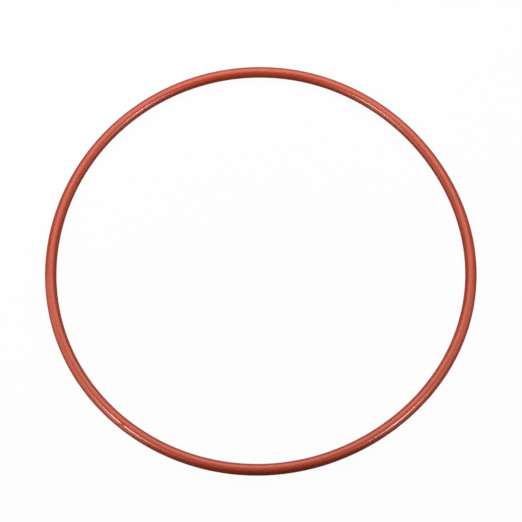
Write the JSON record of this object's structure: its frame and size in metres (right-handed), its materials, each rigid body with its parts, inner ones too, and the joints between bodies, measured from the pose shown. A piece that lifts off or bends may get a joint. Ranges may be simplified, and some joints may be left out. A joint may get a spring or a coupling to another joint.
{
  "type": "silicone o-ring",
  "caption": "Round silicone sealing ring, a closed cord of round section with a fine moulding seam inside and outside, to seal a round joint in a groove.",
  "frame": {"origin": "centre of the ring, halfway up the cord", "axes": "+Z along the ring's axis, up as it lies on a table; X and Y in the ring's plane, and alike"},
  "size_m": [0.1351, 0.1352, 0.0036],
  "materials": {
    "red_silicone": "satin"
  },
  "bodies": {
    "root": {"o_ring": "red_silicone"}
  },
  "joints": []
}
